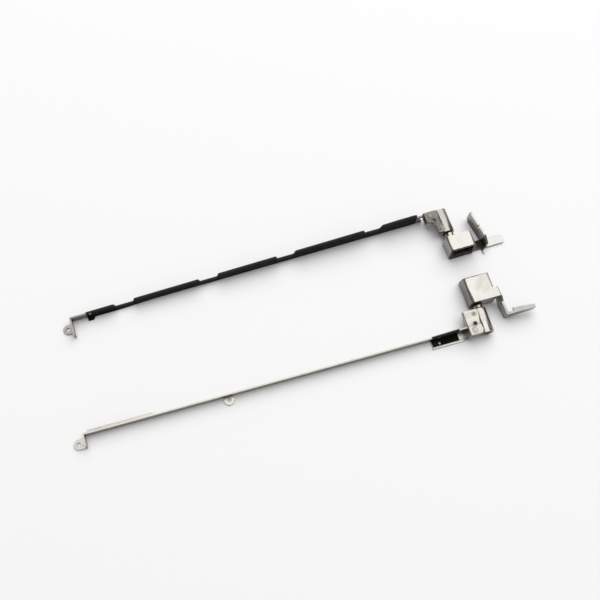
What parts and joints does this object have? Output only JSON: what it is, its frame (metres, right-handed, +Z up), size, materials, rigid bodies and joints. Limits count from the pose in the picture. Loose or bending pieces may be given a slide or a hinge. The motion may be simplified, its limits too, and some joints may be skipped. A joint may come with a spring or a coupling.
{
  "type": "laptop hinge pair",
  "caption": "Left and right friction hinges of a laptop screen, each with a folded base bracket and a long side rail, lying open flat.",
  "frame": {"origin": "middle of the pair's footprint, on the table", "axes": "+X along the rails towards the hinges, +Y from the left hinge to the right one, +Z up"},
  "size_m": [0.251, 0.0742, 0.01],
  "materials": {
    "plated_steel": "bright zinc plate",
    "pin_steel": "turned, slightly yellow plate",
    "rail_steel": "plain grey plate",
    "black_tape": "matte cloth tape"
  },
  "bodies": {
    "base_brackets": {"right_base_bracket": "plated_steel", "right_hinge_pin": "pin_steel", "left_base_bracket": "plated_steel", "left_hinge_pin": "pin_steel"},
    "right_lid": {"right_lid_leaf": "plated_steel", "right_rail": "rail_steel", "right_rail_tape": "black_tape", "right_lap_rivet": "plated_steel", "right_lap_screw": "plated_steel"},
    "left_lid": {"left_lid_leaf": "plated_steel", "left_rail": "rail_steel", "left_corner_tape": "black_tape", "left_lap_rivet": "plated_steel", "left_lap_screw": "plated_steel"}
  },
  "joints": [
    {"name": "right_hinge", "type": "hinge", "parent": "base_brackets", "child": "right_lid", "pos_m": [0.09577, 0.03025, 0.0037], "axis": [-0.0175, 0.9998, 0], "range_deg": [0, 180]},
    {"name": "left_hinge", "type": "hinge", "parent": "base_brackets", "child": "left_lid", "pos_m": [0.09578, -0.03025, 0.0037], "axis": [0.0157, 0.9999, 0], "range_deg": [0, 180]}
  ]
}
